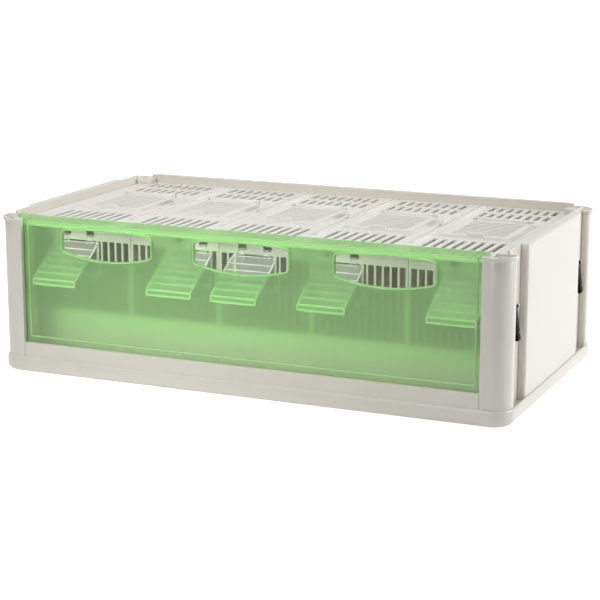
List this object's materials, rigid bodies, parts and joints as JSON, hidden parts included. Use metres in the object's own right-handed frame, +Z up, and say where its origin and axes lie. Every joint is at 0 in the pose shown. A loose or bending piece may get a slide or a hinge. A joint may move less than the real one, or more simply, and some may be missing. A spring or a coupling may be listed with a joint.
{
  "type": "bird carrier",
  "caption": "Low moulded bird carrier with side-by-side compartments, a slotted lid with hatches, a sliding see-through green front with oval holes, and hooked clear feeders.",
  "frame": {"origin": "middle of the base on the surface that it stands on", "axes": "+X to the right along the row of compartments, +Y from the green front to the rear, +Z up"},
  "size_m": [0.6, 0.334, 0.18],
  "materials": {
    "white_shell": "satin ivory-white moulding",
    "white_inner": "satin white moulding",
    "green_clear": "polished see-through green",
    "clear": "polished clear",
    "black": "satin black",
    "steel": "drawn wire"
  },
  "bodies": {
    "carrier": {"base_tray": "white_shell", "floor_sheet": "white_shell", "front_rail": "white_shell", "rear_wall": "white_shell", "post_front_left": "white_shell", "post_front_right": "white_shell", "post_rear_left": "white_shell", "post_rear_right": "white_shell", "cap_front_left": "white_shell", "cap_front_right": "white_shell", "cap_rear_left": "white_shell", "cap_rear_right": "white_shell", "side_wall_left": "white_shell", "side_wall_right": "white_shell", "side_cover_left": "white_shell", "side_cover_right": "white_shell", "bar_front_1": "white_inner", "bar_front_2": "white_inner", "bar_front_3": "white_inner", "bar_front_4": "white_inner", "bar_front_5": "white_inner", "clip_pins": "steel"},
    "lid": {"lid_grille": "white_inner", "hatch_pin_1": "steel", "hatch_pin_2": "steel", "hatch_pin_3": "steel", "hatch_pin_4": "steel", "hatch_pin_5": "steel"},
    "front_panel": {"front_panel": "green_clear"},
    "hatch_1": {"hatch_1": "white_inner"},
    "feeder_1": {"feeder_1": "clear"},
    "hatch_2": {"hatch_2": "white_inner"},
    "feeder_2": {"feeder_2": "clear"},
    "hatch_3": {"hatch_3": "white_inner"},
    "feeder_3": {"feeder_3": "clear"},
    "hatch_4": {"hatch_4": "white_inner"},
    "feeder_4": {"feeder_4": "clear"},
    "hatch_5": {"hatch_5": "white_inner"},
    "feeder_5": {"feeder_5": "clear"},
    "divider_1": {"divider_1": "white_inner"},
    "divider_2": {"divider_2": "white_inner"},
    "divider_3": {"divider_3": "white_inner"},
    "divider_4": {"divider_4": "white_inner"},
    "clip_front_left": {"clip_front_left": "black"},
    "clip_front_right": {"clip_front_right": "black"},
    "clip_rear_left": {"clip_rear_left": "black"},
    "clip_rear_right": {"clip_rear_right": "black"}
  },
  "joints": [
    {"name": "panel_slide", "type": "slide", "parent": "carrier", "child": "front_panel", "axis": [0, 0, 1], "range_m": [0, 0.155]},
    {"name": "lid_lift", "type": "slide", "parent": "carrier", "child": "lid", "axis": [0, 0, 1], "range_m": [0, 0.06]},
    {"name": "hatch_1_hinge", "type": "hinge", "parent": "lid", "child": "hatch_1", "pos_m": [-0.222, 0.053, 0.1729], "axis": [-1, 0, 0], "range_deg": [0, 110]},
    {"name": "hatch_2_hinge", "type": "hinge", "parent": "lid", "child": "hatch_2", "pos_m": [-0.111, 0.053, 0.1729], "axis": [-1, 0, 0], "range_deg": [0, 110]},
    {"name": "hatch_3_hinge", "type": "hinge", "parent": "lid", "child": "hatch_3", "pos_m": [0, 0.053, 0.1729], "axis": [-1, 0, 0], "range_deg": [0, 110]},
    {"name": "hatch_4_hinge", "type": "hinge", "parent": "lid", "child": "hatch_4", "pos_m": [0.111, 0.053, 0.1729], "axis": [-1, 0, 0], "range_deg": [0, 110]},
    {"name": "hatch_5_hinge", "type": "hinge", "parent": "lid", "child": "hatch_5", "pos_m": [0.222, 0.053, 0.1729], "axis": [-1, 0, 0], "range_deg": [0, 110]},
    {"name": "divider_1_slide", "type": "slide", "parent": "carrier", "child": "divider_1", "axis": [0, 0, 1], "range_m": [0, 0.17]},
    {"name": "divider_2_slide", "type": "slide", "parent": "carrier", "child": "divider_2", "axis": [0, 0, 1], "range_m": [0, 0.17]},
    {"name": "divider_3_slide", "type": "slide", "parent": "carrier", "child": "divider_3", "axis": [0, 0, 1], "range_m": [0, 0.17]},
    {"name": "divider_4_slide", "type": "slide", "parent": "carrier", "child": "divider_4", "axis": [0, 0, 1], "range_m": [0, 0.17]},
    {"name": "feeder_1_lift", "type": "slide", "parent": "carrier", "child": "feeder_1", "axis": [0, 0, 1], "range_m": [0, 0.0065]},
    {"name": "feeder_2_lift", "type": "slide", "parent": "carrier", "child": "feeder_2", "axis": [0, 0, 1], "range_m": [0, 0.0065]},
    {"name": "feeder_3_lift", "type": "slide", "parent": "carrier", "child": "feeder_3", "axis": [0, 0, 1], "range_m": [0, 0.0065]},
    {"name": "feeder_4_lift", "type": "slide", "parent": "carrier", "child": "feeder_4", "axis": [0, 0, 1], "range_m": [0, 0.0065]},
    {"name": "feeder_5_lift", "type": "slide", "parent": "carrier", "child": "feeder_5", "axis": [0, 0, 1], "range_m": [0, 0.0065]},
    {"name": "clip_front_left_hinge", "type": "hinge", "parent": "carrier", "child": "clip_front_left", "pos_m": [-0.292, -0.122, 0.118], "axis": [0, 1, 0], "range_deg": [0, 40]},
    {"name": "clip_front_right_hinge", "type": "hinge", "parent": "carrier", "child": "clip_front_right", "pos_m": [0.292, -0.122, 0.118], "axis": [0, -1, 0], "range_deg": [0, 40]},
    {"name": "clip_rear_left_hinge", "type": "hinge", "parent": "carrier", "child": "clip_rear_left", "pos_m": [-0.292, 0.122, 0.118], "axis": [0, 1, 0], "range_deg": [0, 40]},
    {"name": "clip_rear_right_hinge", "type": "hinge", "parent": "carrier", "child": "clip_rear_right", "pos_m": [0.292, 0.122, 0.118], "axis": [0, -1, 0], "range_deg": [0, 40]}
  ]
}
